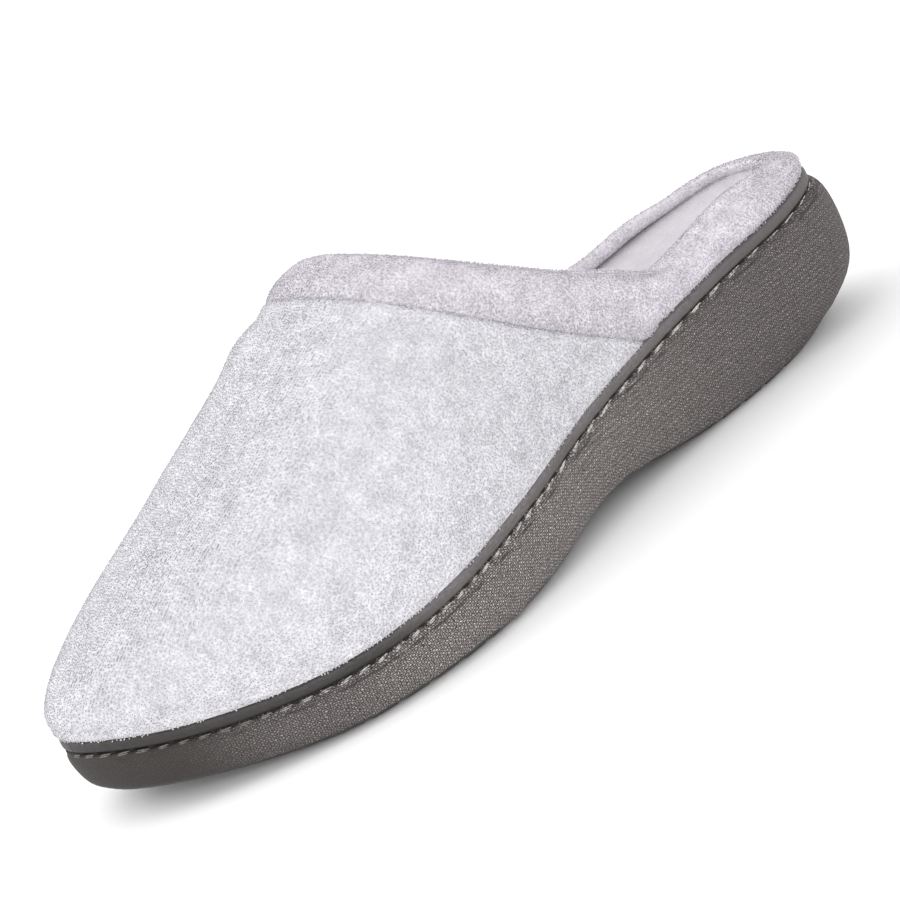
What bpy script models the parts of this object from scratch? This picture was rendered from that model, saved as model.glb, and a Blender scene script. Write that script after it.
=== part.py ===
"""Left house shoe: a closed-toe terry mule with a padded cuff, on a moulded wedge sole.

The tables and functions below work in millimetres on the shoe's own last: x runs from the back of
the heel to the toe, y points to the wearer's left (the outer side of a left shoe), z is up from the
floor. The finished pieces are in metres, with the origin on the floor under the middle of the shoe.
"""

import math
from collections import namedtuple

import bmesh
import bpy
from mathutils import Vector

MM = 0.001

# Driving dimensions in millimetres
HEEL_END = -1.3           # ends of the welt along the last
TOE_END = 256.0
UPPER_WALL = 2.8          # terry, foam and lining together
WELT_HEIGHT = 3.4
WELT_DEPTH = 2.7          # from the outer face to the inner face
WELT_PROUD = 0.4          # how far the welt stands out from the last's edge
WELT_BACK = 1.0           # how much further it stands out at the heel's back
WELT_CORNER = 0.8         # rounding of the welt's outer corners
STITCH_NOTCH = 1.2        # height of the V notch between welt and sole
STITCH_NOTCH_DEPTH = 1.6
INSOLE_INSET = 3.5        # insole edge, in from the last's edge
INSOLE_RISE = 2.4         # insole edge above the welt's top
INSOLE_DISH = 1.8         # how far the middle of the insole lies below its edge
INSOLE_ROUND = 2.0        # rounding of the insole's upper edge
CORNER_CUT = 0.3          # share of a rounding that its middle point stands in from the corner
SEAT_DISH = 2.0           # hollow of the sole's top under the insole
SEAT_EDGE = 5.0           # width of the flat rim round that hollow
DISH_RUNOUT = 0.13        # share of the shoe, at heel and toe, over which a hollow fades out
GAP = 0.3                 # clearance between pieces that touch
CUFF_BULGE = 2.4          # how far the padded cuff swells beyond the last
CUFF_BACK = 0.4           # share of that bulge at the heel's back
CUFF_BACK_REACH = 40.0
CUFF_DEPTH = 6.2          # thickness of the cuff's roll, inwards from the last
ARCH_RISE = 6.0
ARCH_MIDDLE = 111.5
ARCH_REACH = 28.4
TOE_SPRING = 5.6
TOE_SPRING_START = 195.0
FLAT_DEPTH = 0.12         # how far the flat spots are ground into the curved underside
HEEL_TURN = 54.0          # stretch at the back where the wall is the heel's
TOE_TURN = 50.0           # stretch at the front where the wall is the toe's
VAMP_SWELL = 1.6          # how far the vamp swells out just above the welt
SWELL_RISE = 0.25         # share of the vamp's height where that swell is reached

# Mesh density
EDGE_STEPS = 38           # stations from heel to toe
ACROSS = 4                # rungs' divisions across a top face
VAMP_COLUMNS = 24         # from the cuff seam to the toe
VAMP_ROWS = 13            # from the welt to the ridge, on each side
CUFF_HEEL_STEPS = 20      # from the heel's back to the vamp's corner, on each side
CUFF_THROAT_STEPS = 15    # from the vamp's corner to the ridge, on each side
BISECTIONS = 40           # halvings when a line on the last is searched for
WELD = 0.01               # points this close are one
SHARP_EDGE = math.radians(40.0)

# The last's edge where upper meets welt: outer side, inner side, height of the welt's top
Station = namedtuple("Station", "x lateral medial welt_top")
STATIONS = (
    Station(HEEL_END, 0.5, 0.5, 40.5),
    Station(8.0, 18.9, -17.7, 39.3),
    Station(25.0, 24.8, -25.2, 37.4),
    Station(50.0, 26.4, -27.8, 35.3),
    Station(80.0, 28.8, -30.2, 32.0),
    Station(110.0, 33.2, -30.5, 27.9),
    Station(145.0, 42.3, -36.6, 22.4),
    Station(178.0, 46.9, -41.5, 18.1),
    Station(205.0, 42.4, -41.1, 16.5),
    Station(230.0, 28.7, -34.6, 18.3),
    Station(247.0, 13.8, -24.8, 21.5),
    Station(256.0, -7.0, -7.0, 24.2),
)

# The last's ridge, from under the throat to the toe
Ridge = namedtuple("Ridge", "x y z")
RIDGE = (
    Ridge(60.0, -2.0, 96.0),
    Ridge(100.0, -3.0, 94.0),
    Ridge(125.0, -4.0, 90.2),
    Ridge(147.0, -5.0, 85.6),
    Ridge(170.0, -6.0, 75.5),
    Ridge(197.0, -7.0, 61.8),
    Ridge(226.0, -8.0, 49.6),
)
RIDGE_END = RIDGE[-1].x
RIDGE_END_SLOPE = (RIDGE[-1].z - RIDGE[-2].z) / (RIDGE[-1].x - RIDGE[-2].x)
FULLNESS = 2.3            # exponent of the last's rounded sections
TOE_FULLNESS = 2.5        # the same at the very toe
TOE_FALL = 1.4            # how soon the toe leaves the ridge's slope

# Side view of the cuff's seam and of its upper edge
SEAM_START = 83.5
SEAM_SLOPE = 0.768
SEAM_RUN = 67.5            # length of the seam along x
SEAM_SAG = 2.6             # how far it hangs below a straight line
Topline = namedtuple("Topline", "x z")
TOPLINE = (
    Topline(HEEL_END, 44.2),
    Topline(15.0, 45.3),
    Topline(35.0, 46.0),
    Topline(58.0, 44.2),
    Topline(72.0, 46.6),
    Topline(84.0, 52.9),
    Topline(114.0, 73.3),
    Topline(140.0, 93.4),
)
INNER_DROP = 2.4           # the inner rim is this much lower beside the heel
INNER_DROP_RISE = 24.0
INNER_DROP_END = 60.0
TOPLINE_LEAN_START = 48.0  # from here the cuff's upper edge falls back behind its foot
TOPLINE_LEAN = 9.0         # by this much at the vamp's corner

# The sole's wall from the tread's edge to its lip, as distances out from the last's edge
WallStep = namedtuple("WallStep", "rise side heel toe")
WALL = (
    WallStep(0.00, -3.5, -13.4, -11.0),
    WallStep(0.05, -1.0, -11.0, -7.8),
    WallStep(0.16, 0.8, -5.6, -4.6),
    WallStep(0.36, 2.0, 1.0, -1.6),
    WallStep(0.58, 2.5, 4.2, -0.2),
    WallStep(0.80, 2.0, 4.8, 0.5),
    WallStep(0.94, 1.3, 4.1, 0.6),
    WallStep(1.00, 0.7, 2.9, 0.4),
)

# The cuff's section, outer foot first: share of the way up, and distance in or out
CuffPoint = namedtuple("CuffPoint", "up out")
CUFF_SECTION = (
    CuffPoint(0.00, 0.0),
    CuffPoint(0.10, 0.62 * CUFF_BULGE),
    CuffPoint(0.30, CUFF_BULGE),
    CuffPoint(0.58, 0.92 * CUFF_BULGE),
    CuffPoint(0.82, 0.42 * CUFF_BULGE),
    CuffPoint(0.96, -0.22 * CUFF_DEPTH),
    CuffPoint(1.00, -0.48 * CUFF_DEPTH),
    CuffPoint(0.95, -0.76 * CUFF_DEPTH),
    CuffPoint(0.83, -0.97 * CUFF_DEPTH),
    CuffPoint(0.71, -CUFF_DEPTH),
    CuffPoint(0.62, -0.86 * CUFF_DEPTH),
    CuffPoint(0.56, -0.45 * CUFF_DEPTH),
    CuffPoint(0.07, -UPPER_WALL),
)

# Tread grooves: where each group starts and ends along the sole
TreadGroup = namedtuple("TreadGroup", "start end")
TREAD = (TreadGroup(20.0, 74.0), TreadGroup(148.0, 214.0))
TREAD_PITCH = 9.0
GROOVE_WIDTH = 2.6
GROOVE_DEPTH = 1.2
GROOVE_LENGTH = 140.0      # past both sides of the sole
GROOVE_SLANT = math.radians(8.0)

# Finishes: colour, roughness
Finish = namedtuple("Finish", "colour roughness")
TERRY = Finish((0.62, 0.61, 0.65, 1.0), 0.95)
SOCK_TERRY = Finish((0.56, 0.55, 0.58, 1.0), 0.95)
DARK_BINDING = Finish((0.072, 0.068, 0.066, 1.0), 0.5)
MOULDED_SOLE = Finish((0.105, 0.096, 0.092, 1.0), 0.75)


def smooth(keys, values, at):
    """Value at a key, on a cubic through the table that is kept even on uneven spacing."""
    if at <= keys[0]:
        return values[0]
    if at >= keys[-1]:
        return values[-1]
    last_row = len(keys) - 1
    row = max(k for k in range(last_row) if keys[k] <= at)

    def slope(k):
        before, after = max(k - 1, 0), min(k + 1, last_row)
        if before == k or after == k:
            return (values[after] - values[before]) / (keys[after] - keys[before])
        left, right = keys[k] - keys[before], keys[after] - keys[k]
        rise_left = (values[k] - values[before]) / left
        rise_right = (values[after] - values[k]) / right
        return (rise_left * right + rise_right * left) / (left + right)

    span = keys[row + 1] - keys[row]
    t = (at - keys[row]) / span
    a, b = values[row], values[row + 1]
    m, n = slope(row) * span, slope(row + 1) * span
    return a + t * (m + t * (3 * (b - a) - 2 * m - n + t * (2 * (a - b) + m + n)))


def ease(t):
    """0 to 1 with level ends."""
    t = min(max(t, 0.0), 1.0)
    return t * t * (3.0 - 2.0 * t)


def column(table, name):
    return [getattr(row, name) for row in table]


def turn(x):
    """Angle that spaces stations closely at both round ends of the shoe."""
    share = (x - HEEL_END) / (TOE_END - HEEL_END)
    return math.acos(min(max(1.0 - 2.0 * share, -1.0), 1.0))


STATION_TURNS = [turn(station.x) for station in STATIONS]


def edge_y(side, x):
    """Edge of the last: side is +1 on the outer side and -1 on the inner side."""
    return smooth(STATION_TURNS, column(STATIONS, "lateral" if side > 0 else "medial"), turn(x))


def welt_top(x):
    return smooth(column(STATIONS, "x"), column(STATIONS, "welt_top"), x)


def welt_face(x):
    """How far out from the last's edge the welt's outer face stands."""
    return WELT_PROUD + WELT_BACK * ease(1.0 - x / HEEL_TURN)


def seat_height(x):
    """Top of the sole, where the welt stands."""
    return welt_top(x) - WELT_HEIGHT - GAP


def tread_height(x):
    """Underside of the sole: flat at heel and ball, raised at the arch and the toe."""
    arch = ARCH_RISE * math.exp(-(((x - ARCH_MIDDLE) / ARCH_REACH) ** 2))
    spring = max(x - TOE_SPRING_START, 0.0) / (TOE_END - TOE_SPRING_START)
    return max(arch + TOE_SPRING * spring**2 - FLAT_DEPTH, 0.0)


def edge_stations():
    """Stations round the edge: outer side from heel to toe, then the inner side back."""
    half = (TOE_END - HEEL_END) / 2.0
    steps = [HEEL_END + half * (1.0 - math.cos(math.pi * k / EDGE_STEPS)) for k in range(EDGE_STEPS + 1)]
    return [(1, x) for x in steps] + [(-1, x) for x in reversed(steps[1:-1])]


EDGE = [(x, edge_y(side, x)) for side, x in edge_stations()]


def edge_normal(index):
    """Direction out from the edge, level with the floor."""
    before, after = EDGE[index - 1], EDGE[(index + 1) % len(EDGE)]
    along = Vector((after[0] - before[0], after[1] - before[1], 0.0)).normalized()
    return Vector((-along.y, along.x, 0.0))


def edge_ring(out, height):
    """Closed ring of points at a distance out from the edge and at a height, each given for x."""
    return [
        Vector((x, y, height(x))) + edge_normal(index) * out(x)
        for index, (x, y) in enumerate(EDGE)
    ]


def last_point(side, x, theta):
    """Surface of the last over the edge at x: theta is 0 at the welt and a quarter turn on the ridge."""
    ridge_x = min(x, RIDGE_END)
    ridge_y = smooth(column(RIDGE, "x"), column(RIDGE, "y"), ridge_x)
    ridge_z = smooth(column(RIDGE, "x"), column(RIDGE, "z"), ridge_x)
    past_ridge = ease((x - RIDGE_END) / (TOE_END - RIDGE_END))
    fullness = FULLNESS + (TOE_FULLNESS - FULLNESS) * past_ridge
    across = max(math.cos(theta), 0.0) ** (2.0 / fullness)
    up = max(math.sin(theta), 0.0) ** (2.0 / fullness)
    foot = Vector((x, edge_y(side, x), welt_top(x) + GAP))
    top = Vector((ridge_x, ridge_y, ridge_z))
    point = top + (foot - top) * across
    point.z = foot.z + (top.z - foot.z) * up + RIDGE_END_SLOPE * (point.x - ridge_x) * up**TOE_FALL
    level = Vector((foot.x - top.x, foot.y - top.y, 0.0))
    swell = VAMP_SWELL * ease(up / SWELL_RISE) * across**2
    return point + level.normalized() * swell if level.length else point


def seam_z(side, x):
    """Cuff seam in side view: a rising line that hangs a little in the middle."""
    run = x - SEAM_START
    sag = SEAM_SAG * math.sin(math.pi * min(max(run / SEAM_RUN, 0.0), 1.0))
    return welt_top(SEAM_START) + GAP + SEAM_SLOPE * run - sag


def topline_z(side, x):
    """Upper edge of the cuff in side view: round the heel it is a little lower on the inner side."""
    level = smooth(column(TOPLINE, "x"), column(TOPLINE, "z"), x)
    if side > 0:
        return level
    round_heel = ease(x / INNER_DROP_RISE) - ease((x - INNER_DROP_END) / INNER_DROP_RISE)
    return level - INNER_DROP * round_heel


def cut_x(side, theta, line):
    """Station where a row of the last passes through a line drawn in side view."""
    low, high = RIDGE[0].x, RIDGE[-2].x
    for _ in range(BISECTIONS):
        middle = (low + high) / 2.0
        point = last_point(side, middle, theta)
        if point.z > line(side, point.x):
            low = middle
        else:
            high = middle
    return low


def metres(points):
    return [point * MM for point in points]


def new_object(name, mesh, finish, collection):
    """Object in the collection, with a material of its own."""
    material = bpy.data.materials.new(name + "_finish")
    material.use_nodes = True
    shader = material.node_tree.nodes["Principled BSDF"]
    shader.inputs["Base Color"].default_value = finish.colour
    shader.inputs["Roughness"].default_value = finish.roughness
    mesh.materials.append(material)
    mesh.shade_smooth()
    mesh.set_sharp_from_angle(angle=SHARP_EDGE)
    made = bpy.data.objects.new(name, mesh)
    collection.objects.link(made)
    return made


def to_mesh(name, bm):
    """Mesh with its faces pointing out."""
    bmesh.ops.recalc_face_normals(bm, faces=bm.faces)
    mesh = bpy.data.meshes.new(name)
    bm.to_mesh(mesh)
    bm.free()
    return mesh


def skin(bm, loops):
    """Joins closed rings of vertices, one after another."""
    for lower, upper in zip(loops, loops[1:]):
        count = len(lower)
        for k in range(count):
            bm.faces.new((lower[k], lower[(k + 1) % count], upper[(k + 1) % count], upper[k]))


def fill_ladder(bm, ring, dish):
    """Fills an edge ring with rungs from the outer to the inner side, hollowed by dish in the middle."""
    tip = len(ring) // 2
    rungs = []
    for k in range(1, tip):
        outer, inner = ring[k], ring[-k]
        hollow = dish * MM * ease(min(k, tip - k) / tip / DISH_RUNOUT)
        rung = [outer]
        for step in range(1, ACROSS):
            share = step / ACROSS
            point = outer.co.lerp(inner.co, share)
            point.z -= hollow * (1.0 - (2.0 * share - 1.0) ** 2)
            rung.append(bm.verts.new(point))
        rungs.append(rung + [inner])
    for before, after in zip(rungs, rungs[1:]):
        for k in range(ACROSS):
            bm.faces.new((before[k], before[k + 1], after[k + 1], after[k]))
    for point, rung in ((ring[0], rungs[0]), (ring[tip], rungs[-1])):
        for k in range(ACROSS):
            bm.faces.new((point, rung[k], rung[k + 1]))


def stacked_solid(name, rings, bottom_dish, top_dish):
    """Solid of edge rings from the bottom up, closed below and above."""
    bm = bmesh.new()
    loops = [[bm.verts.new(point) for point in metres(ring)] for ring in rings]
    skin(bm, loops)
    fill_ladder(bm, loops[0], bottom_dish)
    fill_ladder(bm, loops[-1], top_dish)
    return to_mesh(name, bm)


def ring_solid(name, sections):
    """Solid of closed sections set one after another round a loop."""
    bm = bmesh.new()
    loops = [[bm.verts.new(point) for point in metres(section)] for section in sections]
    skin(bm, loops + loops[:1])
    return to_mesh(name, bm)


def wall_ring(step):
    """Ring of the sole's wall at one step of its profile."""

    def out(x):
        heel = ease(1.0 - x / HEEL_TURN)
        toe = ease((x - TOE_END + TOE_TURN) / TOE_TURN)
        return step.side + (step.heel - step.side) * heel + (step.toe - step.side) * toe

    def height(x):
        lip = seat_height(x) - STITCH_NOTCH
        return tread_height(x) + (lip - tread_height(x)) * step.rise

    return edge_ring(out, height)


def make_outsole(collection, cutters):
    """Wedge sole in one moulding: barrel wall, lip, stitch notch, hollow seat and cross-cut tread."""
    rings = [wall_ring(step) for step in WALL]
    for depth in (STITCH_NOTCH_DEPTH, STITCH_NOTCH_DEPTH + SEAT_EDGE):
        rings.append(edge_ring(lambda x, depth=depth: welt_face(x) - depth, seat_height))
    mesh = stacked_solid("outsole", rings, 0.0, SEAT_DISH)
    sole = new_object("outsole", mesh, MOULDED_SOLE, collection)
    cut = sole.modifiers.new("tread", "BOOLEAN")
    cut.operation = "DIFFERENCE"
    cut.object = make_tread_cutter(cutters)
    return sole


def make_tread_cutter(cutters):
    """Slanted bars across the tread that cut its grooves."""
    bm = bmesh.new()
    size = Vector((GROOVE_WIDTH, GROOVE_LENGTH, 2.0 * GROOVE_DEPTH)) * MM
    for group in TREAD:
        count = int((group.end - group.start) / TREAD_PITCH) + 1
        for k in range(count):
            bar = bmesh.ops.create_cube(bm, size=1.0)["verts"]
            bmesh.ops.scale(bm, vec=size, verts=bar)
            for vert in bar:
                vert.co.x += vert.co.y * math.tan(GROOVE_SLANT)
            place = Vector((group.start + k * TREAD_PITCH, 0.0, 0.0)) * MM
            bmesh.ops.translate(bm, vec=place, verts=bar)
    cutter = bpy.data.objects.new("tread_grooves", to_mesh("tread_grooves", bm))
    cutter.hide_render = True
    cutter.display_type = "WIRE"
    cutters.objects.link(cutter)
    return cutter


def make_welt(collection):
    """Binding strip round the sole's rim, with its corners rounded off."""
    profile = (
        (WELT_CORNER, 0.0),
        (0.0, WELT_CORNER),
        (0.0, WELT_HEIGHT - WELT_CORNER),
        (WELT_CORNER, WELT_HEIGHT),
        (WELT_DEPTH, WELT_HEIGHT),
        (WELT_DEPTH, 0.0),
    )
    rings = [
        edge_ring(lambda x, d=depth: welt_face(x) - d, lambda x, r=rise: welt_top(x) - WELT_HEIGHT + r)
        for depth, rise in profile
    ]
    mesh = ring_solid("welt", list(zip(*rings)))
    return new_object("welt", mesh, DARK_BINDING, collection)


def make_insole(collection):
    """Padded sock insole that lies in the sole's seat, inside the welt."""

    def bottom(x):
        return seat_height(x) + GAP

    def edge_top(x):
        return welt_top(x) + INSOLE_RISE

    cut = CORNER_CUT * INSOLE_ROUND
    rings = [
        edge_ring(lambda x: -INSOLE_INSET - SEAT_EDGE, bottom),
        edge_ring(lambda x: -INSOLE_INSET, bottom),
        edge_ring(lambda x: -INSOLE_INSET, lambda x: edge_top(x) - INSOLE_ROUND),
        edge_ring(lambda x: -INSOLE_INSET - cut, lambda x: edge_top(x) - cut),
        edge_ring(lambda x: -INSOLE_INSET - INSOLE_ROUND, edge_top),
    ]
    mesh = stacked_solid("insole", rings, SEAT_DISH - GAP, INSOLE_DISH)
    return new_object("insole", mesh, SOCK_TERRY, collection)


def make_upper(collection):
    """Vamp: a hollow shell from the cuff's seam to the toe, open at the throat and underneath."""
    angles = [math.pi / 2.0 * k / VAMP_ROWS for k in range(VAMP_ROWS + 1)]
    rows = [(1, theta) for theta in angles] + [(-1, theta) for theta in reversed(angles[:-1])]
    bm = bmesh.new()
    grid = []
    for side, theta in rows:
        start = cut_x(side, theta, seam_z)
        steps = [math.sin(math.pi / 2.0 * k / VAMP_COLUMNS) for k in range(VAMP_COLUMNS + 1)]
        line = [last_point(side, start + (TOE_END - start) * step, theta) for step in steps]
        grid.append([bm.verts.new(point) for point in metres(line)])
    for lower, upper in zip(grid, grid[1:]):
        for k in range(VAMP_COLUMNS):
            bm.faces.new((lower[k], lower[k + 1], upper[k + 1], upper[k]))
    bmesh.ops.remove_doubles(bm, verts=bm.verts, dist=WELD * MM)
    upper = new_object("upper", to_mesh("upper", bm), TERRY, collection)
    shell = upper.modifiers.new("wall", "SOLIDIFY")
    shell.thickness = UPPER_WALL * MM
    shell.offset = -1.0
    shell.use_even_offset = True
    return upper


def cuff_lines(side):
    """Foot and upper edge of the cuff on one side, from the heel's back to the ridge."""
    pairs = []
    for k in range(CUFF_HEEL_STEPS):
        x = HEEL_END + (SEAM_START - HEEL_END) * (1.0 - math.cos(math.pi / 2.0 * k / CUFF_HEEL_STEPS))
        lean = TOPLINE_LEAN * ease((x - TOPLINE_LEAN_START) / (SEAM_START - TOPLINE_LEAN_START))
        pairs.append((Vector((x, edge_y(side, x), welt_top(x) + GAP)), topline_point(side, x - lean)))
    first = topline_theta(side, SEAM_START - TOPLINE_LEAN)
    for k in range(CUFF_THROAT_STEPS + 1):
        share = k / CUFF_THROAT_STEPS
        theta = math.pi / 2.0 * share
        foot = last_point(side, cut_x(side, theta, seam_z), theta)
        high = first + (math.pi / 2.0 - first) * share
        pairs.append((foot, last_point(side, cut_x(side, high, topline_z), high)))
    return pairs


def topline_theta(side, x):
    """Row of the last that the cuff's upper edge crosses at station x."""
    low, high = 0.0, math.pi / 2.0
    for _ in range(BISECTIONS):
        middle = (low + high) / 2.0
        if last_point(side, x, middle).z < topline_z(side, x):
            low = middle
        else:
            high = middle
    return low


def topline_point(side, x):
    return last_point(side, x, topline_theta(side, x))


def make_cuff(collection):
    """Padded roll round the throat and the heel, with its foot on the vamp's edge and the welt."""
    outer, inner = cuff_lines(1), cuff_lines(-1)
    loop = outer + list(reversed(inner[1:-1]))
    feet = [foot for foot, _ in loop]
    sections = []
    for k, (foot, edge) in enumerate(loop):
        along = (feet[(k + 1) % len(feet)] - feet[k - 1]).normalized()
        up = (edge - foot).normalized()
        out = up.cross(along).normalized()
        height = (edge - foot).length - GAP
        full = CUFF_BACK + (1.0 - CUFF_BACK) * ease((foot.x - HEEL_END) / CUFF_BACK_REACH)
        section = []
        for point in CUFF_SECTION:
            bulge = point.out * full if point.out > 0.0 else point.out
            section.append(foot + up * (GAP + height * point.up) + out * bulge)
        sections.append(section)
    return new_object("cuff", ring_solid("cuff", sections), TERRY, collection)


def floor_place(parts):
    """Shift that puts the origin on the floor under the middle of the shoe's box."""
    bpy.context.view_layer.update()
    depsgraph = bpy.context.evaluated_depsgraph_get()
    corners = []
    for part in parts:
        corners += [Vector(corner) for corner in part.evaluated_get(depsgraph).bound_box]
    low = [min(corner[axis] for corner in corners) for axis in range(3)]
    high = [max(corner[axis] for corner in corners) for axis in range(3)]
    return Vector((-(low[0] + high[0]) / 2.0, -(low[1] + high[1]) / 2.0, -low[2]))


def main():
    for old in list(bpy.data.objects):
        bpy.data.objects.remove(old)
    shoe = bpy.data.collections.new("house_shoe")
    cutters = bpy.data.collections.new("house_shoe_cutters")
    for collection in (shoe, cutters):
        bpy.context.scene.collection.children.link(collection)
    parts = [
        make_outsole(shoe, cutters),
        make_welt(shoe),
        make_insole(shoe),
        make_upper(shoe),
        make_cuff(shoe),
    ]
    place = bpy.data.objects.new("house_shoe_place", None)
    shoe.objects.link(place)
    for part in parts + list(cutters.objects):
        part.parent = place
    place.location = floor_place(parts)


main()
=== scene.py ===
"""House shoe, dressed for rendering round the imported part.

A terry vamp and padded cuff with their pile, a sock insole, a stitched binding strip and a wedge sole
with a woven grain, on a pale floor under soft light.
"""

import math
import random

import bmesh
import bpy
from bpy.props import FloatProperty, FloatVectorProperty, PointerProperty
from mathutils import Matrix, Vector
from mathutils.bvhtree import BVHTree
from mathutils.geometry import interpolate_bezier
from mathutils.kdtree import KDTree


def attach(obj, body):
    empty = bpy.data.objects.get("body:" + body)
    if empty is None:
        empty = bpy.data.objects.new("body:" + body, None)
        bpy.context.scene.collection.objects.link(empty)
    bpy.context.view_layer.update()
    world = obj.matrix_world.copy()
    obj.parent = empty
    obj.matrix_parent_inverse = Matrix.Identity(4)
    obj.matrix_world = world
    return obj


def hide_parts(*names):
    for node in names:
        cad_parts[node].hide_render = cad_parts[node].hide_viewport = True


bl_info = {
    "name": "House shoe",
    "version": (1, 0, 0),
    "blender": (4, 5, 0),
    "location": "3D View > Sidebar > House shoe",
    "description": "Dresses the packed house shoe in terry, binding, stitches and sole, on a stage",
    "category": "Object",
}

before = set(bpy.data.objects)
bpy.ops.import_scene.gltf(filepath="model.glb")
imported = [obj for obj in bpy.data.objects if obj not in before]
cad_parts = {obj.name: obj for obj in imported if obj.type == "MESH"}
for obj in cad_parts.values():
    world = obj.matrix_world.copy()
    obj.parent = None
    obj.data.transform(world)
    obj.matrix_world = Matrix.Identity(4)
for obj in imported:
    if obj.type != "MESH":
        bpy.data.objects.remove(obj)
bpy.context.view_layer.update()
BODY = "root"
MM = 0.001
MERGE = 0.00001
SHARP = math.radians(38.0)
SEED = 11
FIT_ROUNDS = 3  # rounds in which a smoothed piece is fitted to the CAD's points
BAKE_MAP = "OFBake"  # name of the flat map of a piece that has its own layout
WALL_MAP = "wall"  # flat map of the sole's wall and of the binding strip
BELOW = "below"  # attribute: depth below the lower corner of the binding strip
SEAM_SHADE = "seam_shade"  # attribute: how near the cuff's cloth is to its seam with the vamp, which sets its painted shade
PILE = "pile"  # attribute: the faces that grow pile


def number(name, description, default, **kind):
    """Property for one number."""
    return FloatProperty(name=name, description=description, default=default, **kind)


def length(name, description, millimetres):
    """Property for a length, given here in millimetres."""
    return number(name, description, millimetres * MM, unit="LENGTH", precision=5)


def angle(name, description, degrees):
    """Property for an angle, given here in degrees."""
    return number(name, description, math.radians(degrees), subtype="ANGLE")


def colour(name, description, red, green, blue):
    """Property for an opaque colour."""
    shade = (red, green, blue, 1.0)
    return FloatVectorProperty(
        name=name, description=description, default=shade, size=4, min=0.0, max=1.0, subtype="COLOR"
    )


class TerryLook(bpy.types.PropertyGroup):
    """Looped cloth of the vamp and the cuff, and the smooth cloth inside."""

    light: colour("Light yarn", "Lightest shade of the vamp's heather", 0.725, 0.716, 0.75)
    dark: colour("Dark yarn", "Darkest shade of the vamp's heather", 0.475, 0.467, 0.497)
    cuff_light: colour("Light cuff yarn", "Lightest shade of the cuff, a little warmer", 0.775, 0.737, 0.79)
    cuff_dark: colour("Dark cuff yarn", "Darkest shade of the cuff", 0.452, 0.429, 0.467)
    sock_light: colour("Light sock yarn", "Lightest shade of the insole and the lining", 0.61, 0.578, 0.615)
    sock_dark: colour("Dark sock yarn", "Darkest shade of the insole and the lining", 0.46, 0.436, 0.465)
    spacing: length("Loop spacing", "Least distance between two loops of the pile", 0.6)
    tall: length("Loop length", "Length of one loop of the vamp", 0.8)
    cuff_tall: length("Cuff loop length", "Length of one loop of the cuff", 0.85)
    wide: length("Loop width", "Width of one loop", 0.46)
    column: length("Column pitch", "From one column of loops to the next", 0.9)
    patch: length("Heather patch", "Size of the lighter and darker patches", 6.0)
    loop: length("Loop shade", "Size of the shade of single loops", 0.7)
    sock_loop: length("Sock nap", "Size of the nap of the insole and the lining", 0.6)


class TrimLook(bpy.types.PropertyGroup):
    """Binding strip and its stitches."""

    binding: colour("Binding", "Strip round the sole, at the ball", 0.215, 0.196, 0.199)
    # Darker strip: its random mottle, and painted shade at the toe and the heel, which the lamps light less
    # than the ball
    binding_mottle_and_end_shade: colour("Dark binding", "Strip at the toe, and part of it at the heel", 0.047, 0.041, 0.040)
    # Painted shade along the strip's lower edge, where it turns under into the groove
    binding_lower_edge_shade: colour("Binding's shade", "Lower edge of the strip", 0.024, 0.021, 0.021)
    thread: colour("Thread", "Stitches under the strip", 0.62, 0.595, 0.57)
    thread_dark: colour("Thread's shade", "Between the plies of the thread", 0.10, 0.09, 0.085)
    # Painted shade: colour of the dark body put in each needle hole
    hole: colour("Needle hole", "Where the thread dives between two stitches", 0.022, 0.020, 0.019)
    pitch: length("Stitch pitch", "From one stitch to the next, at the ball and the toe", 5.1)
    heel_pitch: length("Heel stitch pitch", "From one stitch to the next, at the waist and the heel", 8.3)
    stitch: number("Stitch length", "Share of the pitch that shows as thread", 0.63, subtype="FACTOR")
    thread_wide: length("Ply width", "Thickness of one of the thread's two plies", 0.36)
    stitch_out: length("Stitch place out", "From the strip's outer face, inwards below zero", -0.3)
    stitch_drop: length("Stitch place down", "Below the strip's lower corner", 1.5)
    slant: angle("Stitch slant", "Turn of a stitch against the row", -3.0)


class SoleLook(bpy.types.PropertyGroup):
    """Wedge sole with its woven grain."""

    # Tops of the grain in light yarn, gaps near black: partly the sunk yarn's own tone, partly painted shade
    # in the weave's hollows
    light: colour("Raised grain", "Tops of the woven grain", 0.54, 0.49, 0.477)
    dark: colour("Sunk grain", "Gaps of the woven grain", 0.032, 0.028, 0.027)
    # Painted shade: the grain's tops are darker at the heel and the toe, which the lamps light less than the
    # middle of the wall
    shaded_end_grain: colour("Raised grain at the ends", "Tops of the grain at heel and toe", 0.295, 0.265, 0.259)
    smooth: colour("Smooth toe", "Where the grain runs out at the toe", 0.024, 0.0205, 0.0185)
    # Painted shade in the grooves beside the stitches
    seam: colour("Seam groove", "Grooves beside the stitches", 0.028, 0.025, 0.024)
    tread: colour("Tread", "Underside", 0.075, 0.070, 0.068)
    weave: length("Grain pitch", "From one row of the grain to the next", 0.43)
    level_rows: length("Level rows", "Behind this place the rows of the grain run level", -10.0)
    smooth_start: length("Grain fades", "Where the grain starts to run out", 97.0)
    smooth_end: length("Grain ends", "Where the grain has run out", 121.0)
    groove: length("Seam groove", "From the strip's lower corner down to the groove under the stitches", 2.8)
    groove_wide: length("Groove width", "Width of the seam grooves", 0.4)


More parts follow.
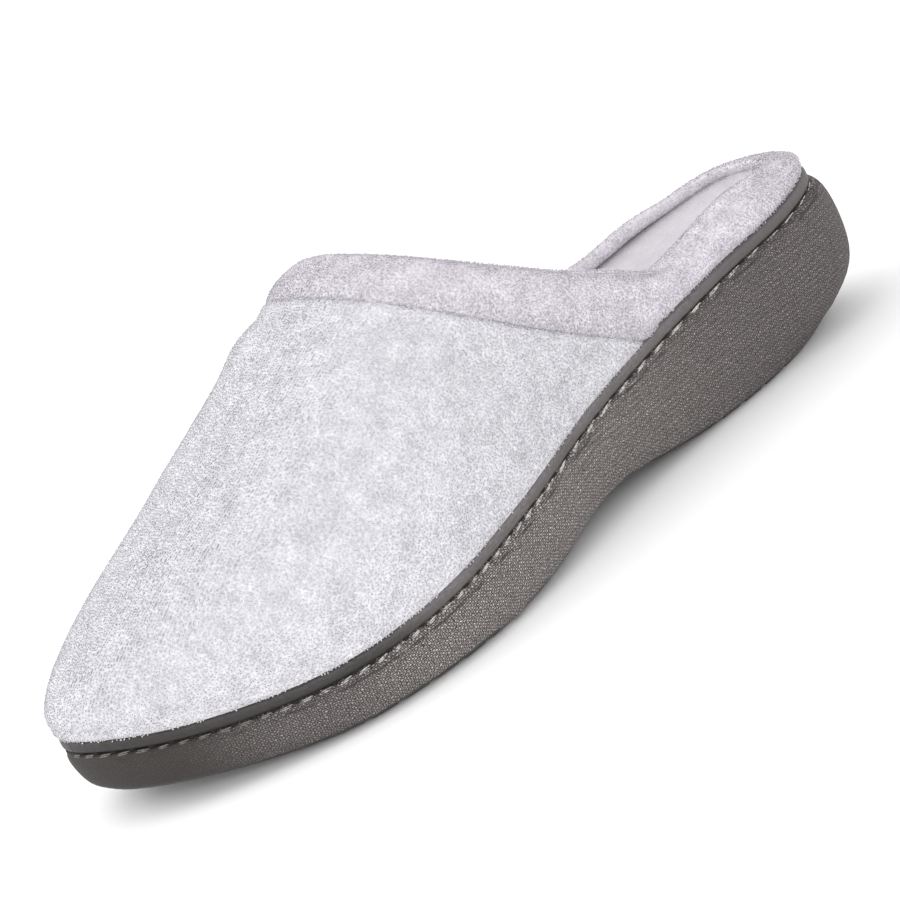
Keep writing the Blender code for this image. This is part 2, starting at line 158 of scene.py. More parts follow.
class StageLook(bpy.types.PropertyGroup):
    """Floor, light and camera."""

    floor: colour("Floor", "Pale floor", 0.93, 0.93, 0.93)
    sky: colour("Room", "Light from all round", 1.0, 1.0, 1.0)
    room_light: number("Room light", "Strength of the light from all round", 1.0, subtype="UNSIGNED")
    key_light: number("Key light", "Strength of the broad light from above", 0.65, subtype="UNSIGNED")
    rim_power: number("Rim light", "Power of the low light on the far side of the toe", 4.5, unit="POWER")
    fill_power: number("Fill light", "Power of the low light on the near side", 10.0, unit="POWER")
    target: FloatVectorProperty(
        name="Looks at",
        description="Point in the middle of the picture",
        default=(0.006313, 0.000226, 0.030),
        subtype="TRANSLATION",
        unit="LENGTH",
        precision=5,
    )
    distance: length("Distance", "From the camera to that point", 914.2)
    azimuth: angle("Azimuth", "Turn of the camera round the shoe, from the inner side", 148.64)
    elevation: angle("Elevation", "Height of the camera over the floor's plane", 16.18)
    roll: angle("Roll", "Turn of the camera about its own line of sight", -26.6)
    lens: number("Lens", "Focal length on a 36 mm sensor", 146.08, unit="CAMERA")


class HouseShoeLook(bpy.types.PropertyGroup):
    """All that can be changed on the house shoe."""

    terry: PointerProperty(type=TerryLook)
    trim: PointerProperty(type=TrimLook)
    sole: PointerProperty(type=SoleLook)
    stage: PointerProperty(type=StageLook)


# Soft troughs: place in millimetres, direction along the trough, its half length, half width and depth,
# which is below zero for a ridge
CUFF_TROUGHS = (
    ((-5.4, 31.5, 62.4), (-0.3, 0.1, 1.0), 3.5, 2.4, 0.9),
    ((-36.7, 30.1, 41.3), (-0.6, 0.0, 0.8), 5.0, 2.5, 0.8),
    ((-43.4, 29.2, 38.9), (-0.3, 0.0, 1.0), 5.0, 2.2, 0.7),
    ((15.3, 10.9, 85.9), (0.0, 1.0, -0.2), 5.0, 4.0, 0.5),
    ((6.0, 23.7, 78.5), (-0.4, 0.4, -0.8), 6.0, 4.0, 0.45),
    ((21.1, -2.8, 87.3), (1.0, 0.0, 0.0), 5.0, 5.0, -0.4),
    ((8.0, -24.0, 78.0), (-0.4, -0.4, -0.8), 6.0, 4.0, 0.5),
    ((-30.0, -33.0, 48.0), (-0.6, 0.0, 0.8), 5.0, 3.0, 0.7),
    ((-69.5, 24.5, 43.5), (0.2, 0.3, 0.9), 4.0, 5.0, 0.4),
    ((-58.0, 22.0, 47.0), (1.0, 0.0, 0.15), 9.0, 6.0, 2.6),
    ((-92.0, 17.0, 46.5), (1.0, -0.2, 0.0), 14.0, 6.0, -0.9),
    ((-84.0, -25.0, 44.0), (1.0, 0.1, 0.0), 26.0, 9.0, 0.9),
    ((-120.0, 10.0, 45.0), (0.4, -0.9, 0.0), 12.0, 8.0, 0.7),
)
SOLE_TROUGHS = (
    ((-110.0, 20.0, 11.0), (0.9, 0.4, 0.1), 24.0, 11.0, -2.0),
    ((35.0, 43.5, 3.0), (1.0, 0.1, 0.0), 36.0, 9.0, -1.0),
    ((119.5, 12.2, 8.0), (0.6, -0.8, 0.0), 24.0, 8.0, -0.7),
)
VAMP_TROUGHS = (
    ((48.2, 18.0, 68.4), (0.4, 0.9, -0.3), 22.0, 9.0, 0.5),
    ((90.6, 29.1, 39.1), (0.7, -0.3, 0.6), 16.0, 8.0, 0.5),
    ((31.1, 41.0, 43.8), (0.6, 0.1, -0.7), 20.0, 9.0, 0.45),
    ((66.0, -20.0, 60.0), (0.3, -0.9, -0.3), 20.0, 9.0, 0.5),
    ((62.0, 34.0, 48.0), (0.8, 0.0, 0.5), 14.0, 7.0, -0.4),
    ((37.0, -13.0, 78.5), (0.1, 1.0, 0.1), 15.0, 7.0, -1.9),
)

# Where an effect runs along the shoe: the place where it starts, and the place where it is full
# Painted shade of the sole's grain towards the heel and the toe
GRAIN_SHADE_TO_HEEL = (15.0 * MM, -90.0 * MM)
GRAIN_SHADE_TO_TOE = (60.0 * MM, 95.0 * MM)
GRAIN_ROWS = (25.0 * MM, -15.0 * MM)
# Painted shade of the binding strip towards the toe and the heel
STRIP_SHADE_TO_TOE = (45.0 * MM, 80.0 * MM)
STRIP_SHADE_TO_HEEL = (-25.0 * MM, -90.0 * MM)
THREAD_TO_BALL = (20.0 * MM, 60.0 * MM)
THREAD_TO_TOE = (80.0 * MM, 108.0 * MM)
LONG_STITCHES = (25.0 * MM, -10.0 * MM)
RIM_TO_HEEL = (-30.0 * MM, -60.0 * MM)

# Cloth and pile
PATCH_SHARE = 0.42  # part of the patches in the shade of the cloth
LOOP_SHARE = 0.5  # part of the single loops in it
LEAST_LIGHT = 0.06  # light yarn that is left in its darkest spots
SEAM_PAINTED_SHADE = 0.95  # painted shade between the loops near the cuff's seam with the vamp
SEAM_SHADE_CONTRAST = 0.9  # how much of that painted shade the tops of the loops lose
TERRY_DEPTH = 0.5 * MM  # depth between the loops of the terry
SOCK_DEPTH = 0.15 * MM  # depth of the nap of the smooth cloth
COLUMN_HOLD = 0.85  # how far a loop is drawn into its column
WORN_SIDE = (-32.0 * MM, 2.0 * MM)  # across the shoe, from the smallest loops to full ones
WORN_SIZE = 0.6  # size of the smallest loops beside full ones
PILE_MARGIN = 0.7 * MM  # bare edge of the vamp along the binding strip
LOOP_LEAN = 0.75  # lean of the loops off the cloth's normal, in radians

# Shape of the soft pieces: fullness in millimetres, and reaches from a seam
FOOT_MIDDLE = -2.5 * MM  # across the shoe
FOOT_FRONT = 100.0 * MM
FOOT_HEIGHT = 30.0 * MM
OPENING = (-95.0 * MM, 10.0 * MM)  # ends of the middle line of the opening
INSOLE_FULL = 0.9  # beside the cuff
INSOLE_DRAWN = 0.6  # how much less away from it
INSOLE_REACH = (0.5 * MM, 3.0 * MM)
VAMP_FULL = 0.35  # along the seams
VAMP_DRAWN = 0.75  # how much less between them
VAMP_REACH = (1.0 * MM, 4.0 * MM)
CUFF_DRAWN = 0.35  # outside
CUFF_INNER = 0.65  # added on the inner side
CUFF_HEEL = 1.0  # added there at the heel
CUFF_NEAR = 0.9  # added at the heel on top of the near rim
NEAR_RIM = (0.0, 15.0 * MM)  # across the shoe
# Reach from the vamp of the painted shade on the cuff
SEAM_SHADE_REACH = (0.5 * MM, 9.0 * MM)
CUFF_UNDERSIDE = -0.8  # faces that look further down than this have no pile
CUFF_COVERED = -20.0 * MM  # but in front of this place they have

# Flat layout of the piles
VAMP_AXIS = (-4.0 * MM, 8.0 * MM)  # across the shoe and up, the line that the vamp turns round
VAMP_LONG = 0.17
VAMP_SHIFT = 0.2
VAMP_TURN = 0.32
CUFF_AXIS = (-45.0 * MM, -2.5 * MM)  # along the shoe and across it
CUFF_LOW = 30.0 * MM
CUFF_TALL = 0.065

# Sole, binding and stitches
TREAD_FACING = -0.75  # faces that look further down than this are tread
WEAVE_AXES = (  # stretch of the pitch, scale of the slow waver and of the quick one
    (1.4, 230.0, 1000.0),  # along the wall
    (1.0, 270.0, 1500.0),  # up it
)
WEAVE_SWAY = 1.2  # slow waver of the threads, in threads
WEAVE_SHAKE = 1.3  # quick waver of the threads, in threads
PILLOW_EDGE = 0.4  # height of a thread where it dives under the next
CROSS_HEIGHT = 0.6  # height of the upright threads beside the level ones
ROWS_IN_A_SWING = 3.2  # rows from one bright row to the next
ROW_SWING = 0.28  # how much brighter such a row is
BARE_SHADE = 0.93  # how far the grain's colour runs out at the toe
BARE_RELIEF = 0.85  # how far its relief runs out there
GROOVE_WAVER = 1.2 * MM
# Share of the painted shade in the grooves
GROOVE_SHADE = 0.8
GROOVE_RELIEF = 1.5  # depth of a groove beside that of the grain
STRIP_THREADS = (650.0, 2400.0)  # threads in a metre, along the strip and up it
STRIP_WRINKLES = (330.0, 60.0)  # wrinkles in a metre, along the strip and up it
STRIP_WAVER = 1.0 * MM
STRIP_EDGE_SHADE = (-2.4 * MM, -0.4 * MM)  # depths between which painted shade darkens the strip to its lower edge
# Share of the strip's painted shade at the heel
STRIP_HEEL_SHADE = 0.55
THREAD_BALL_SHADE = 0.15
THREAD_TOE_SHADE = 0.7
PLY_ASIDE = 0.62  # of a ply's width, from the middle of a stitch
PLY_AHEAD = 0.2  # of a stitch's half length, by which its plies are shifted
HOLE_SUNK = 0.3 * MM  # depth behind the stitches of the dark body that paints the shade of a needle hole
HOLE_DROP = 0.55  # of the stitches' own drop
HOLE_HALF = (0.2, 0.45 * MM, 0.4 * MM)  # half length in pitches, half depth and half height

# Stage
FLOOR_HALF = 6.0
KEY_SPREAD = math.radians(70.0)
LAMP_SIZE = 0.9
KEY_PLACE = (0.25, -0.45, 1.0)
FILL_PLACE = (0.5, 1.2, 0.35)
RIM_PLACE = (0.8, -0.65, 0.5)
SENSOR = 36.0  # in millimetres

FLOAT = "NodeSocketFloat"
COLOUR = "NodeSocketColor"


def node_copy(node):
    """Copy of a CAD node with its loose triangles merged and paired into quads."""
    bm = bmesh.new()
    bm.from_mesh(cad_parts[node].data)
    bmesh.ops.remove_doubles(bm, verts=bm.verts, dist=MERGE)
    bmesh.ops.join_triangles(
        bm,
        faces=bm.faces,
        angle_face_threshold=math.radians(60.0),
        angle_shape_threshold=math.radians(120.0),
    )
    return bm


def crease_sharp(bm, weight):
    """Keeps the sharp edges of a mesh from being rounded away by subdivision."""
    layer = bm.edges.layers.float.new("crease_edge")
    for edge in bm.edges:
        if edge.is_manifold and edge.calc_face_angle() > SHARP:
            edge[layer] = weight


def crease_flat(bm, faces):
    """Keeps some faces as they are through subdivision."""
    layer = bm.edges.layers.float.get("crease_edge")
    for face in faces:
        for edge in face.edges:
            edge[layer] = 1.0


def freeze(piece):
    """Applies the modifiers of a piece to its mesh."""
    graph = bpy.context.evaluated_depsgraph_get()
    shaped = piece.evaluated_get(graph)
    mesh = bpy.data.meshes.new_from_object(shaped, preserve_all_data_layers=True, depsgraph=graph)
    mesh.name = piece.name
    piece.modifiers.clear()
    piece.data = mesh


def smooth_through(piece, levels):
    """Subdivides a piece so that the smooth surface passes through the CAD's own points."""
    smooth = piece.modifiers.new("smooth", "SUBSURF")
    smooth.levels = levels
    smooth.render_levels = levels
    cage = piece.data
    wanted = [vert.co.copy() for vert in cage.vertices]
    for _ in range(FIT_ROUNDS):
        graph = bpy.context.evaluated_depsgraph_get()
        reached = piece.evaluated_get(graph).data.vertices
        misses = [place - reached[k].co for k, place in enumerate(wanted)]
        for vert, miss in zip(cage.vertices, misses):
            vert.co += miss
        cage.update()
    freeze(piece)


def add_piece(name, bm, materials, levels=0):
    """Object at the origin from a bmesh, smoothed by subdivision."""
    mesh = bpy.data.meshes.new(name)
    bm.to_mesh(mesh)
    bm.free()
    piece = bpy.data.objects.new(name, mesh)
    bpy.context.scene.collection.objects.link(piece)
    for material in materials:
        mesh.materials.append(material)
    if levels:
        smooth_through(piece, levels)
    piece.data.shade_smooth()
    return piece


def hand_over(piece, slot, *nodes):
    """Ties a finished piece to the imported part."""
    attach(piece, BODY)
    if nodes:
        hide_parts(*nodes)


class Outline:
    """Smooth closed line along the lower corner of the binding strip's outer face."""

    STEPS = 12

    def __init__(self):
        corners = self.corners()
        count = len(corners)
        self.points = []
        for k in range(count):
            before, here, there, after = (corners[(k + step) % count] for step in (-1, 0, 1, 2))
            leave = here + (there - before) / 6.0
            arrive = there - (after - here) / 6.0
            self.points += interpolate_bezier(here, leave, arrive, there, self.STEPS + 1)[:-1]
        self.runs = [0.0]
        for k in range(1, len(self.points) + 1):
            step = self.points[k % len(self.points)] - self.points[k - 1]
            self.runs.append(self.runs[-1] + step.length)
        self.total = self.runs[-1]
        self.tree = KDTree(len(self.points))
        for k, point in enumerate(self.points):
            self.tree.insert((point.x, point.y, 0.0), k)
        self.tree.balance()

    @staticmethod
    def corners():
        """The strip's own points, walked round from the toe over its quads."""
        bm = node_copy("welt")
        start = max(bm.verts, key=lambda vert: (round(vert.co.x, 5), -vert.co.z))
        edge = max(start.link_edges, key=lambda e: abs(e.other_vert(start).co.y - start.co.y))
        line = [start.co.copy()]
        vert = edge.other_vert(start)
        while vert is not start:
            line.append(vert.co.copy())
            passed = set(edge.link_faces)
            edge = next(e for e in vert.link_edges if not passed & set(e.link_faces))
            vert = edge.other_vert(vert)
        bm.free()
        area = sum(a.x * b.y - b.x * a.y for a, b in zip(line, line[1:] + line[:1]))
        return line if area > 0.0 else line[::-1]

    def at(self, run):
        """Place on the line, direction along it and direction out from the shoe."""
        run %= self.total
        k = max(0, min(len(self.points) - 1, int(run / self.total * len(self.points))))
        while self.runs[k] > run:
            k -= 1
        while self.runs[k + 1] < run:
            k += 1
        here = self.points[k]
        there = self.points[(k + 1) % len(self.points)]
        share = (run - self.runs[k]) / (self.runs[k + 1] - self.runs[k])
        along = (there - here).normalized()
        out = Vector((along.y, -along.x, 0.0)).normalized()
        return here.lerp(there, share), along, out

    def nearest(self, point):
        """Distance along the line beside a point, and the point of the line there."""
        _, k, _ = self.tree.find((point.x, point.y, 0.0))
        here = self.points[k]
        along = (self.points[(k + 1) % len(self.points)] - self.points[k - 1]).normalized()
        level = Vector((along.x, along.y, 0.0))
        ahead = Vector((point.x - here.x, point.y - here.y, 0.0)).dot(level)
        return self.runs[k] + ahead, here


def lay_uv(piece, outline, level_x):
    """UV map in metres, along the outline and up from it, level behind a place; and depths below it."""
    mesh = piece.data
    level = min(outline.points, key=lambda point: abs(point.x - level_x)).z
    places = []
    depths = []
    for vert in mesh.vertices:
        run, beside = outline.nearest(vert.co)
        places.append((run, vert.co.z - (beside.z if beside.x > level_x else level)))
        depths.append(beside.z - vert.co.z)
    mesh.attributes.new(BELOW, "FLOAT", "POINT").data.foreach_set("value", depths)
    layer = mesh.uv_layers.new(name=WALL_MAP)
    for face in mesh.polygons:
        runs = [places[mesh.loops[k].vertex_index][0] for k in face.loop_indices]
        high = max(runs)
        for k, run in zip(face.loop_indices, runs):
            if high - run > outline.total / 2.0:
                run += outline.total
            layer.data[k].uv = (run, places[mesh.loops[k].vertex_index][1])


def add(tree, kind, inputs=None, **settings):
    """Adds a node with its settings, and with inputs given as values or as sockets to link."""
    node = tree.nodes.new(kind)
    for name, value in settings.items():
        setattr(node, name, value)
    for key, value in (inputs or {}).items():
        if isinstance(value, bpy.types.NodeSocket):
            tree.links.new(value, node.inputs[key])
        else:
            node.inputs[key].default_value = value
    return node


def calc(tree, operation, first, second=0.0, third=0.0):
    """Result of one operation on up to three values or sockets."""
    return add(tree, "ShaderNodeMath", {0: first, 1: second, 2: third}, operation=operation).outputs[0]


def spread(tree, value, low, high, bottom=0.0, top=1.0, **settings):
    """Value carried over from one range to another, and held inside it."""
    ranges = {"Value": value, "From Min": low, "From Max": high, "To Min": bottom, "To Max": top}
    return add(tree, "ShaderNodeMapRange", ranges, **settings).outputs[0]


def noise(tree, place, scale, detail, rough=0.5, **settings):
    inputs = {"Vector": place, "Scale": scale, "Detail": detail, "Roughness": rough}
    return add(tree, "ShaderNodeTexNoise", inputs, **settings).outputs[0]


def drawn_noise(tree, scales, detail):
    """Noise on the piece's own flat map, with a scale for each of its directions."""
    flat = add(tree, "ShaderNodeUVMap", uv_map=WALL_MAP).outputs[0]
    place = add(tree, "ShaderNodeMapping", {"Vector": flat, "Scale": (*scales, 1.0)}).outputs[0]
    return noise(tree, place, 1.0, detail, noise_dimensions="2D")


def object_place(tree):
    return add(tree, "ShaderNodeTexCoord").outputs["Object"]


def split(tree, vector):
    return add(tree, "ShaderNodeSeparateXYZ", {"Vector": vector}).outputs


def attribute(tree, name):
    return add(tree, "ShaderNodeAttribute", attribute_name=name, attribute_type="GEOMETRY").outputs["Fac"]


def along_x(tree, start, end):
    """Mask that rises from one place to another along the shoe."""
    return spread(tree, split(tree, object_place(tree))[0], start, end, interpolation_type="SMOOTHSTEP")


def blend(tree, share, first, second):
    """Mix of two colours."""
    node = add(tree, "ShaderNodeMix", {"Factor": share}, data_type="RGBA")
    for name, value in (("A", first), ("B", second)):
        socket = next(s for s in node.inputs if s.name == name and s.type == "RGBA")
        if isinstance(value, bpy.types.NodeSocket):
            tree.links.new(value, socket)
        else:
            socket.default_value = value
    return next(s for s in node.outputs if s.type == "RGBA")


def new_group(name, inputs, outputs):
    """Shader node group with its sockets; returns its tree and the input node's sockets."""
    tree = bpy.data.node_groups.new(name, "ShaderNodeTree")
    for label, kind in inputs:
        tree.interface.new_socket(label, in_out="INPUT", socket_type=kind)
    for label, kind in outputs:
        tree.interface.new_socket(label, in_out="OUTPUT", socket_type=kind)
    return tree, add(tree, "NodeGroupInput").outputs


def use_group(tree, group, **values):
    """Places a node group with its own values; returns its outputs."""
    return add(tree, "ShaderNodeGroup", values, node_tree=group).outputs


def heather_group():
    """Heathered loop cloth: patches and single loops from dark to light, with a height for bump."""
    found = bpy.data.node_groups.get("heather")
    if found:
        return found
    tree, given = new_group(
        "heather",
        [("Light", COLOUR), ("Dark", COLOUR), ("Patch", FLOAT), ("Loop", FLOAT)],
        [("Colour", COLOUR), ("Height", FLOAT)],
    )
    place = object_place(tree)
    patches = noise(tree, place, calc(tree, "DIVIDE", 1.0, given["Patch"]), 4.0, 0.6)
    loops = noise(tree, place, calc(tree, "DIVIDE", 1.0, given["Loop"]), 1.0)
    wide = spread(tree, patches, 0.34, 0.66)
    fine = spread(tree, loops, 0.30, 0.70)
    from_loops = calc(tree, "MULTIPLY_ADD", fine, LOOP_SHARE, LEAST_LIGHT)
    share = calc(tree, "MULTIPLY_ADD", wide, PATCH_SHARE, from_loops)
    shade = blend(tree, share, given["Dark"], given["Light"])
    add(tree, "NodeGroupOutput", {"Colour": shade, "Height": fine})
    return tree


def weave_group():
    """Plain weave on a UV map in metres: height of its pillows, brightness of each, and a swing by rows."""
    outputs = [("Height", FLOAT), ("Uneven", FLOAT), ("Row", FLOAT)]
    tree, given = new_group("weave", [("Pitch", FLOAT)], outputs)
    place = object_place(tree)
    axes = split(tree, add(tree, "ShaderNodeUVMap", uv_map=WALL_MAP).outputs[0])
    steps = []
    for axis, (stretch, sway_scale, shake_scale) in enumerate(WEAVE_AXES):
        sway = noise(tree, place, sway_scale, 1.0)
        shake = noise(tree, place, shake_scale, 0.0)
        nudge = calc(tree, "MULTIPLY_ADD", sway, WEAVE_SWAY, calc(tree, "MULTIPLY", shake, WEAVE_SHAKE))
        step = calc(tree, "DIVIDE", axes[axis], calc(tree, "MULTIPLY", given["Pitch"], stretch))
        steps.append(calc(tree, "ADD", step, nudge))
    cells = [calc(tree, "FLOOR", step) for step in steps]
    over = calc(tree, "PINGPONG", calc(tree, "ADD", *cells), 1.0)
    waves = [calc(tree, "SINE", calc(tree, "MULTIPLY", step, math.pi)) for step in steps]
    hills = [calc(tree, "ABSOLUTE", wave) for wave in waves]
    bodies = [calc(tree, "MULTIPLY_ADD", hill, 1.0 - PILLOW_EDGE, PILLOW_EDGE) for hill in hills]
    across = calc(tree, "MULTIPLY", calc(tree, "MULTIPLY", hills[0], bodies[1]), CROSS_HEIGHT)
    lengthwise = calc(tree, "MULTIPLY", hills[1], bodies[0])
    either = {"Factor": over, "A": across, "B": lengthwise}
    height = add(tree, "ShaderNodeMix", either, data_type="FLOAT").outputs[0]
    cell = add(tree, "ShaderNodeCombineXYZ", {0: cells[0], 1: cells[1]}).outputs[0]
    lot = add(tree, "ShaderNodeTexWhiteNoise", {"Vector": cell}, noise_dimensions="2D").outputs["Value"]
    row = calc(tree, "SINE", calc(tree, "MULTIPLY", steps[1], math.tau / ROWS_IN_A_SWING))
    add(tree, "NodeGroupOutput", {"Height": height, "Uneven": lot, "Row": row})
    return tree


def grain_group():
    """Fine pebbled grain for smooth materials, on object coordinates."""
    found = bpy.data.node_groups.get("grain")
    if found:
        return found
    tree, given = new_group("grain", [("Size", FLOAT)], [("Height", FLOAT), ("Cloud", FLOAT)])
    place = object_place(tree)
    scale = calc(tree, "DIVIDE", 1.0, given["Size"])
    pebbles = add(tree, "ShaderNodeTexVoronoi", {"Vector": place, "Scale": scale}, feature="SMOOTH_F1")
    cloud = noise(tree, place, 60.0, 4.0)
    add(tree, "NodeGroupOutput", {"Height": pebbles.outputs["Distance"], "Cloud": cloud})
    return tree


def new_material(name, **values):
    """Material whose Principled shader has plain values set; returns it with its tree and shader."""
    material = bpy.data.materials.new(name)
    material.use_nodes = True
    tree = material.node_tree
    shader = tree.nodes["Principled BSDF"]
    for socket, value in values.items():
        shader.inputs[socket.replace("_", " ").title().replace("Ior", "IOR")].default_value = value
    return material, tree, shader


def bump(tree, shader, height, strength, depth):
    node = add(tree, "ShaderNodeBump", {"Height": height, "Strength": strength, "Distance": depth})
    tree.links.new(node.outputs[0], shader.inputs["Normal"])


def cloth_material(name, light, dark, patch, loop, depth):
    """Heathered cloth with loops of a size and a depth, and painted shade between them where the piece is
    marked as near a seam.
    """
    material, tree, shader = new_material(
        name, roughness=0.95, specular_ior_level=0.15, sheen_weight=0.12, sheen_roughness=0.6
    )
    cloth = use_group(tree, heather_group(), Light=light, Dark=dark, Patch=patch, Loop=loop)
    # Painted shade near the cuff's seam with the vamp: the colour goes towards the dark yarn, most between
    # the loops
    between = calc(tree, "SUBTRACT", SEAM_PAINTED_SHADE, calc(tree, "MULTIPLY", cloth["Height"], SEAM_SHADE_CONTRAST))
    shaded = calc(tree, "MULTIPLY", attribute(tree, SEAM_SHADE), between)
    tree.links.new(blend(tree, shaded, cloth["Colour"], dark), shader.inputs["Base Color"])
    bump(tree, shader, cloth["Height"], 0.6, depth)
    return material


def sock_material(look):
    """Smooth brushed cloth of the insole and the lining."""
    found = bpy.data.materials.get("sock_cloth")
    if found:
        return found
    light, dark = look.sock_light, look.sock_dark
    return cloth_material("sock_cloth", light, dark, look.patch, look.sock_loop, SOCK_DEPTH)


def groove_mask(tree, depth, wide):
    """Mask of a wavering groove at a depth below the binding strip, for its painted shade and its relief."""
    waver = noise(tree, object_place(tree), 190.0, 2.0)
    swing = calc(tree, "MULTIPLY", calc(tree, "SUBTRACT", waver, 0.5), GROOVE_WAVER)
    here = calc(tree, "ADD", attribute(tree, BELOW), swing)
    off = calc(tree, "ABSOLUTE", calc(tree, "SUBTRACT", here, depth))
    return spread(tree, off, 0.2 * wide, wide, 1.0, 0.0)


def wall_material(look):
    """Wall of the sole: woven grain that runs out at the toe, with grooves above and below the stitches,
    darkened with painted shade.
    """
    material, tree, shader = new_material("sole_wall", specular_ior_level=0.4)
    weave = use_group(tree, weave_group(), Pitch=look.weave)
    bare = along_x(tree, look.smooth_start, look.smooth_end)
    # Colour follows the weave's height, so the sunk gaps carry painted shade besides their own darker tone
    raised = spread(tree, weave["Height"], 0.23, 0.95)
    uneven = spread(tree, weave["Uneven"], 0.0, 1.0, 0.55, 1.15)
    rows = calc(tree, "MULTIPLY", along_x(tree, *GRAIN_ROWS), ROW_SWING)
    swung = calc(tree, "MULTIPLY_ADD", weave["Row"], rows, 1.0)
    share = calc(tree, "MULTIPLY", calc(tree, "MULTIPLY", raised, uneven), swung)
    # Painted shade: the grain's tops darken towards the heel and the toe
    ends = calc(tree, "MAXIMUM", along_x(tree, *GRAIN_SHADE_TO_HEEL), along_x(tree, *GRAIN_SHADE_TO_TOE))
    grain = blend(tree, share, look.dark, blend(tree, ends, look.light, look.shaded_end_grain))
    toned = blend(tree, calc(tree, "MULTIPLY", bare, BARE_SHADE), grain, look.smooth)
    stretches = spread(tree, noise(tree, object_place(tree), 150.0, 0.0), 0.42, 0.62)
    lower = calc(tree, "MULTIPLY", groove_mask(tree, look.groove, look.groove_wide), stretches)
    sunk = calc(tree, "MAXIMUM", groove_mask(tree, 0.3 * look.groove_wide, look.groove_wide), lower)
    # Painted shade in the grooves above and below the stitches
    shade = blend(tree, calc(tree, "MULTIPLY", sunk, GROOVE_SHADE), toned, look.seam)
    tree.links.new(shade, shader.inputs["Base Color"])
    tree.links.new(spread(tree, weave["Height"], 0.0, 1.0, 0.85, 0.62), shader.inputs["Roughness"])
    kept = calc(tree, "SUBTRACT", 1.0, calc(tree, "MULTIPLY", bare, BARE_RELIEF))
    relief = calc(tree, "MULTIPLY", weave["Height"], kept)
    height = calc(tree, "SUBTRACT", relief, calc(tree, "MULTIPLY", sunk, GROOVE_RELIEF))
    bump(tree, shader, height, 0.7, 0.3 * MM)
    return material


def rubber_material(look):
    """Rubber of the tread, in fine pebbles."""
    material, tree, shader = new_material("sole_tread", specular_ior_level=0.35)
    grain = use_group(tree, grain_group(), Size=0.9 * MM)
    tree.links.new(blend(tree, grain["Cloud"], look.tread, look.dark), shader.inputs["Base Color"])
    tree.links.new(spread(tree, grain["Cloud"], 0.0, 1.0, 0.65, 0.85), shader.inputs["Roughness"])
    bump(tree, shader, grain["Height"], 0.4, 0.2 * MM)
    return material


def binding_material(look):
    """Binding strip: drawn threads and wrinkles, with painted shade at the toe, at the heel and along its
    lower edge.
    """
    material, tree, shader = new_material("binding_strip", specular_ior_level=0.35)
    cloud = spread(tree, use_group(tree, grain_group(), Size=0.45 * MM)["Cloud"], 0.3, 0.7)
    threads = drawn_noise(tree, STRIP_THREADS, 1.0)
    wrinkles = drawn_noise(tree, STRIP_WRINKLES, 2.0)
    # Painted shade towards the toe and the heel, mixed with the strip's random mottle
    front = along_x(tree, *STRIP_SHADE_TO_TOE)
    heel = calc(tree, "MULTIPLY", along_x(tree, *STRIP_SHADE_TO_HEEL), STRIP_HEEL_SHADE)
    uneven = calc(tree, "MULTIPLY", calc(tree, "MULTIPLY_ADD", threads, 2.0, cloud), 0.25)
    end_shade_and_mottle = calc(tree, "MAXIMUM", calc(tree, "MAXIMUM", front, heel), uneven)
    # Painted shade along the lower edge, stronger towards the toe
    depth = calc(tree, "MULTIPLY_ADD", threads, STRIP_WAVER, attribute(tree, BELOW))
    low = spread(tree, depth, *STRIP_EDGE_SHADE)
    shaded = calc(tree, "MULTIPLY", low, calc(tree, "MULTIPLY_ADD", front, 0.5, 0.4))
    toned = blend(tree, end_shade_and_mottle, look.binding, look.binding_mottle_and_end_shade)
    tree.links.new(blend(tree, shaded, toned, look.binding_lower_edge_shade), shader.inputs["Base Color"])
    tree.links.new(spread(tree, cloud, 0.0, 1.0, 0.42, 0.58), shader.inputs["Roughness"])
    bump(tree, shader, calc(tree, "MULTIPLY_ADD", threads, 0.35, wrinkles), 0.8, 0.5 * MM)
    return material


def thread_material(look):
    """Thread of the stitches, duller at the ball and more so at the toe."""
    material, tree, shader = new_material("thread", roughness=0.7, specular_ior_level=0.3)
    fibres = noise(tree, object_place(tree), 1500.0, 1.0)
    share = spread(tree, fibres, 0.32, 0.58)
    ball = calc(tree, "MULTIPLY", along_x(tree, *THREAD_TO_BALL), THREAD_BALL_SHADE)
    # Darker towards the ball and more so towards the toe
    falloff = calc(tree, "MULTIPLY_ADD", along_x(tree, *THREAD_TO_TOE), THREAD_TOE_SHADE, ball)
    pale_share = calc(tree, "MULTIPLY", share, calc(tree, "SUBTRACT", 1.0, falloff))
    tree.links.new(blend(tree, pale_share, look.thread_dark, look.thread), shader.inputs["Base Color"])
    bump(tree, shader, fibres, 0.6, 0.1 * MM)
    return material


def own_place(tree):
    """Coordinates of each point in a geometry tree."""
    return split(tree, add(tree, "GeometryNodeInputPosition").outputs[0])


def in_columns(tree, points, normal, pitch):
    """Draws scattered points into columns along the shoe, where the cloth faces up or to the front."""
    step = calc(tree, "DIVIDE", own_place(tree)[1], pitch)
    facing = split(tree, normal)
    hold = spread(tree, calc(tree, "ABSOLUTE", facing[1]), 0.35, 0.7, COLUMN_HOLD * pitch, 0.0)
    aside = calc(tree, "MULTIPLY", calc(tree, "SUBTRACT", calc(tree, "ROUND", step), step), hold)
    slope = calc(tree, "DIVIDE", facing[1], calc(tree, "MAXIMUM", facing[2], 0.4))
    fall = calc(tree, "MULTIPLY", calc(tree, "MULTIPLY", aside, slope), -1.0)
    shift = add(tree, "ShaderNodeCombineXYZ", {1: aside, 2: fall}).outputs[0]
    return add(tree, "GeometryNodeSetPosition", {"Geometry": points, "Offset": shift}).outputs[0]


